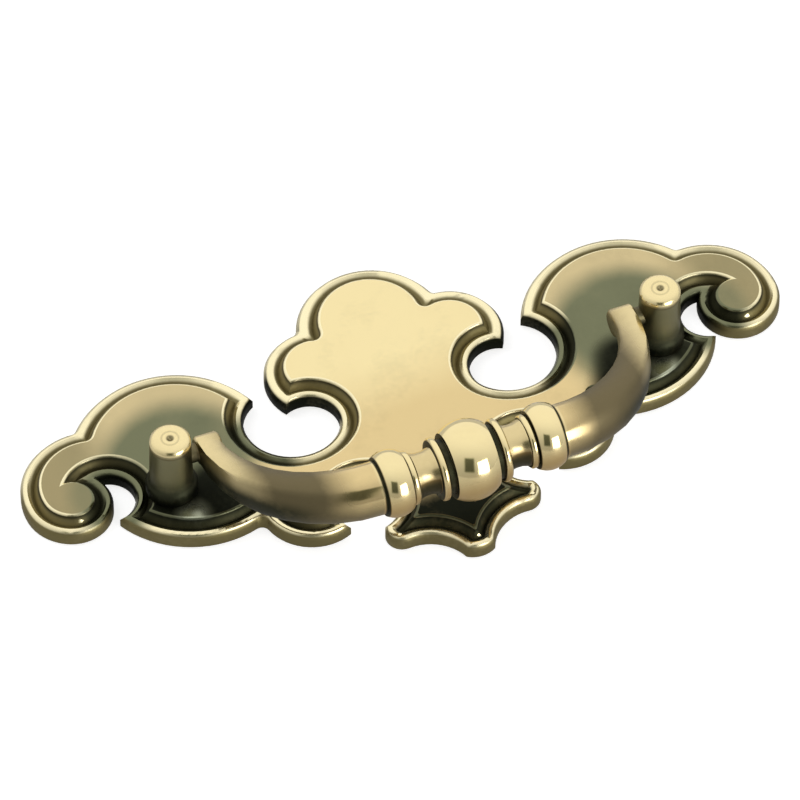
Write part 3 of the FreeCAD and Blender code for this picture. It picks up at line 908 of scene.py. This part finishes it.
class Castings:
    """The metal pieces, each a merged copy of its solid with smooth faces and crisp edges.

    Attributes:
        edge_angle: The angle between two faces past which their edge stays crisp.
        weld: How near to each other corners are merged, in metres.
    """

    edge_angle: float = math.radians(50)
    weld: float = 0.002 * MM

    def merged(self, node: str, piece_name: str) -> bpy.types.Object:
        """Copy a solid's triangles, merge their corners and smooth what isn't an edge.

        Args:
            node: The solid's name.
            piece_name: The new piece's name.

        Returns:
            The new piece.
        """
        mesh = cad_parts[node].data.copy()
        mesh.name = piece_name
        mesh.materials.clear()
        shell = bmesh.new()
        shell.from_mesh(mesh)
        bmesh.ops.remove_doubles(shell, verts=shell.verts, dist=self.weld)
        for face in shell.faces:
            face.smooth = True
        for edge in shell.edges:
            edge.smooth = edge.is_manifold and edge.calc_face_angle(0.0) < self.edge_angle
        shell.normal_update()
        self.mark(shell)
        shell.to_mesh(mesh)
        shell.free()
        if "custom_normal" in mesh.attributes:
            mesh.attributes.remove(mesh.attributes["custom_normal"])
        piece = bpy.data.objects.new(piece_name, mesh)
        bpy.context.scene.collection.objects.link(piece)
        steady = piece.modifiers.new("steady_normals", "WEIGHTED_NORMAL")
        steady.keep_sharp = True
        return piece

    def mark(self, shell: bmesh.types.BMesh) -> None:
        """Note on each corner what a finish needs to know. Most pieces need nothing more.

        Args:
            shell: The merged shell, not used here.
        """

    def place(self, node: str, piece_name: str, body: str, slot: str, material: bpy.types.Material) -> None:
        """Put a finished copy in a solid's place.

        Args:
            node: The solid's name.
            piece_name: The new piece's name.
            body: The body that it moves with.
            slot: The record's material slot; not used.
            material: Its finish.
        """
        piece = self.merged(node, piece_name)
        piece.data.materials.append(material)
        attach(piece, body)
        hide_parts(node)
        log.info("%s: %d faces", piece_name, len(piece.data.polygons))


@dataclass
class Plate(Castings):
    """The backplate.

    Attributes:
        finish: Its finish.
        section: The border's section, as pairs of inset from the wall and height, in millimetres.
    """

    finish: PlateFinish
    section: tuple[tuple[float, float], ...] = (
        (0.0, 0.0), (0.0, 1.457), (0.444, 2.186), (1.018, 2.35), (1.85, 1.72), (2.8, 3.075), (3.15, 3.25),
    )

    def mark(self, shell: bmesh.types.BMesh) -> None:
        """Note how far in from the wall each corner lies, known from its height.

        Args:
            shell: The merged shell.
        """
        wall_top = -1.5 * MM
        upright = 0.1
        corners = [vert.co.copy() for vert in shell.verts]
        walls = [[vert.index for vert in face.verts] for face in shell.faces
                 if abs(face.normal.y) < upright and face.calc_center_median().y > wall_top]
        wall = BVHTree.FromPolygons(corners, walls)
        inset = shell.verts.layers.float.new("inset")
        for vert in shell.verts:
            height = -vert.co.y / MM
            _, _, _, away = wall.find_nearest((vert.co.x, wall_top / 2, vert.co.z))
            vert[inset] = self.inset_at(height, away / MM)

    def inset_at(self, height: float, away: float) -> float:
        """Find how far in the border's section has a height.

        A height of one of the section's own corners gives that corner. Any other can occur on several of its
        slopes, and the one nearest to the distance counts. On the back the distance itself counts.

        Args:
            height: The height off the back, in millimetres.
            away: The distance to the wall, in millimetres.

        Returns:
            The inset. On the level field it is that of the field's edge.
        """
        close = 0.01
        for inset, level in self.section[1:]:
            if abs(height - level) < close:
                return inset
        found = []
        for (start, low), (end, high) in zip(self.section, self.section[1:]):
            if min(low, high) < height < max(low, high):
                found.append(start + (end - start) * (height - low) / (high - low))
        return min(found, key=lambda inset: abs(inset - away)) if found else away

    def build(self) -> None:
        """Make the plate."""
        self.place("backplate", "scrolled_plate", "plate", "plate_brass", self.finish.build())


@dataclass
class Posts(Castings):
    """The two posts."""

    finish: PostFinish

    def build(self) -> None:
        """Make both posts."""
        material = self.finish.build()
        for side in ("left", "right"):
            self.place(side + "_post", side + "_turned_post", "plate", "post_brass", material)


@dataclass
class Bail(Castings):
    """The bail."""

    finish: BailFinish

    def build(self) -> None:
        """Make the bail."""
        self.place("bail", "cast_bail", "bail", "bail_brass", self.finish.build())


# Studio

@dataclass
class Board:
    """The pale board behind the pull, seen only from its front.

    Attributes:
        half: Half its width, in metres.
        behind: How far it stands behind the plate's back, in metres.
        white: Its base colour's level.
        glow: How brightly it glows of itself.
        seen_glow: How much more brightly the camera sees it glow.
    """

    half: float = 0.9
    behind: float = 0.0004
    white: float = 0.62
    glow: float = 0.2
    seen_glow: float = 0.55

    def build(self) -> None:
        """Make the board."""
        shell = bmesh.new()
        turn = Matrix.Rotation(math.radians(90), 4, "X")
        bmesh.ops.create_grid(shell, x_segments=1, y_segments=1, size=self.half, matrix=turn)
        mesh = bpy.data.meshes.new("board")
        shell.to_mesh(mesh)
        shell.free()
        mesh.transform(Matrix.Translation((0.0, self.behind, 0.0)))
        board = bpy.data.objects.new("board", mesh)
        bpy.context.scene.collection.objects.link(board)
        mesh.materials.append(self.material())

    def material(self) -> bpy.types.Material:
        """A near-white face that nothing shows from behind.

        Returns:
            The material.
        """
        material = bpy.data.materials.new("board_white")
        material.use_nodes = True
        graph = Graph(material.node_tree)
        shader = graph.tree.nodes["Principled BSDF"]
        shader.inputs["Base Color"].default_value = (self.white, self.white, self.white, 1.0)
        shader.inputs["Roughness"].default_value = 0.9
        shader.inputs["Emission Color"].default_value = (1.0, 1.0, 1.0, 1.0)
        seen = graph.node("ShaderNodeLightPath").outputs["Is Camera Ray"]
        glow = graph.math("MULTIPLY_ADD", seen, self.seen_glow, self.glow)
        graph.feed(shader.inputs["Emission Strength"], glow)
        clear = graph.node("ShaderNodeBsdfTransparent")
        choice = graph.node("ShaderNodeMixShader")
        graph.feed(choice.inputs[0], graph.node("ShaderNodeNewGeometry").outputs["Backfacing"])
        graph.feed(choice.inputs[1], shader.outputs[0])
        graph.feed(choice.inputs[2], clear.outputs[0])
        graph.feed(graph.tree.nodes["Material Output"].inputs["Surface"], choice.outputs[0])
        return material


@dataclass(frozen=True)
class SoftLamp:
    """A square soft lamp that points at the pull.

    Attributes:
        name: Its name.
        place: Where it hangs, in metres.
        side: The length of its side, in metres.
        watts: Its power.
        roll: How far it is turned about its own axis, in degrees.
        mirrored: Whether the metal mirrors it.
    """

    name: str
    place: Point
    side: float
    watts: float
    roll: float = 0.0
    mirrored: bool = True

    def build(self) -> None:
        """Hang the lamp."""
        data = bpy.data.lights.new(self.name, "AREA")
        data.shape = "SQUARE"
        data.size = self.side
        data.energy = self.watts
        lamp = bpy.data.objects.new(self.name, data)
        bpy.context.scene.collection.objects.link(lamp)
        turn = (-Vector(self.place)).to_track_quat("-Z", "Y").to_matrix()
        turn = turn @ Matrix.Rotation(math.radians(self.roll), 3, "Z")
        lamp.matrix_world = Matrix.Translation(self.place) @ turn.to_4x4()
        lamp.visible_glossy = self.mirrored


@dataclass
class Studio:
    """Board, lamps, surroundings and camera.

    Attributes:
        lamps: The lamps.
        ambient: How bright the surroundings are to all that neither sees nor mirrors them.
        brighter: The way in which the mirrored surroundings grow brighter.
        brighter_span: How far along that way they begin and end to grow brighter.
        brightness: How bright they are at either end.
        card: The direction of a dark card that the metal mirrors.
        card_front: How far along that direction the card's side of the surroundings begins.
        card_sides: The directions along the card's width and height, and half its share of each.
        card_edge: How far inside and outside that share the card's soft edge reaches.
        card_dark: How much darker the card is than the rest.
        card_tint: Its tint.
    """

    lamps: list[SoftLamp] = field(default_factory=lambda: [
        SoftLamp("window_lamp", (0.24, -0.20, -0.52), 0.36, 1.6, roll=40.0),
        SoftLamp("high_lamp", (-0.35, -0.55, 0.35), 0.5, 1.2, mirrored=False),
    ])

    ambient: float = 0.4
    brighter: Point = (0.2, -0.45, 0.55)
    brighter_span: Span = (-0.6, 0.7)
    brightness: Span = (0.45, 1.08)
    card: Point = (-0.30, -0.57, -0.76)
    card_front: Span = (0.0, 0.1)
    card_sides: tuple[tuple[Point, float], ...] = (
        ((0.9305, 0.0, -0.3662), 0.28),
        ((0.2095, -0.8202, 0.5323), 0.36),
    )
    card_edge: Span = (0.09, 0.03)
    card_dark: float = 0.82
    card_tint: Colour = (0.92, 1.0, 0.78)

    def along(self, graph: Graph, parts: list[Socket], way: Point) -> Socket:
        """Measure how far a direction goes along another.

        Args:
            graph: The surroundings' graph.
            parts: The direction's three parts.
            way: The other direction.

        Returns:
            Its length along that one.
        """
        total = graph.math("MULTIPLY", parts[0], way[0])
        total = graph.math("MULTIPLY_ADD", parts[1], way[1], total)
        return graph.math("MULTIPLY_ADD", parts[2], way[2], total)

    def world(self) -> None:
        """White to the eye, graded with one dark card in the metal, and a plain pale light otherwise."""
        world = bpy.data.worlds.new("surroundings")
        bpy.context.scene.world = world
        world.use_nodes = True
        graph = Graph(world.node_tree)
        back = graph.tree.nodes["Background"]
        path = graph.node("ShaderNodeLightPath")
        direction = graph.parts(graph.node("ShaderNodeTexCoord").outputs["Generated"])
        brighter = self.along(graph, direction, self.brighter)
        mirrored = graph.ramp(brighter, *self.brighter_span, *self.brightness)
        on_card = graph.rise(self.along(graph, direction, self.card), self.card_front)
        inside, outside = self.card_edge
        for way, half in self.card_sides:
            aside = graph.math("ABSOLUTE", self.along(graph, direction, way))
            on_card = graph.product(on_card, graph.fall(aside, (half - inside, half + outside)))
        mirrored = graph.product(mirrored, graph.math("MULTIPLY_ADD", on_card, -self.card_dark, 1.0))
        tinted = graph.product(on_card, path.outputs["Is Glossy Ray"])
        graph.feed(back.inputs["Color"], graph.mix(tinted, (1.0, 1.0, 1.0), self.card_tint))
        strength = graph.mix_number(path.outputs["Is Glossy Ray"], self.ambient, mirrored)
        strength = graph.mix_number(path.outputs["Is Camera Ray"], strength, 1.0)
        graph.feed(back.inputs["Strength"], strength)

    def camera(self) -> None:
        """Stand the camera where the photograph was taken from."""
        place = Vector((-0.2434, -0.8305, -0.6117))
        right = Vector((0.9305, 0.0, -0.3662))
        ahead = Vector((0.2285, 0.7815, 0.5806))
        above = right.cross(ahead)
        data = bpy.data.cameras.new("camera")
        data.lens = 326.4
        data.sensor_width = 36.0
        eye = bpy.data.objects.new("camera", data)
        bpy.context.scene.collection.objects.link(eye)
        turn = Matrix((right, above, -ahead)).transposed().to_4x4()
        eye.matrix_world = Matrix.Translation(place) @ turn
        bpy.context.scene.camera = eye

    def build(self) -> None:
        """Set up everything that isn't the pull."""
        Board().build()
        for lamp in self.lamps:
            lamp.build()
        self.world()
        self.camera()
        bpy.context.scene.view_settings.view_transform = "Standard"


def main() -> None:
    """Build the pull and its studio, piece by piece."""
    tarnish = tarnish_group()
    Plate(PlateFinish("plate_brass", tarnish)).build()
    Posts(PostFinish("post_brass", tarnish)).build()
    Bail(BailFinish("bail_brass", tarnish, gloss=0.4)).build()
    Studio().build()


if __name__ == "__main__":
    main()
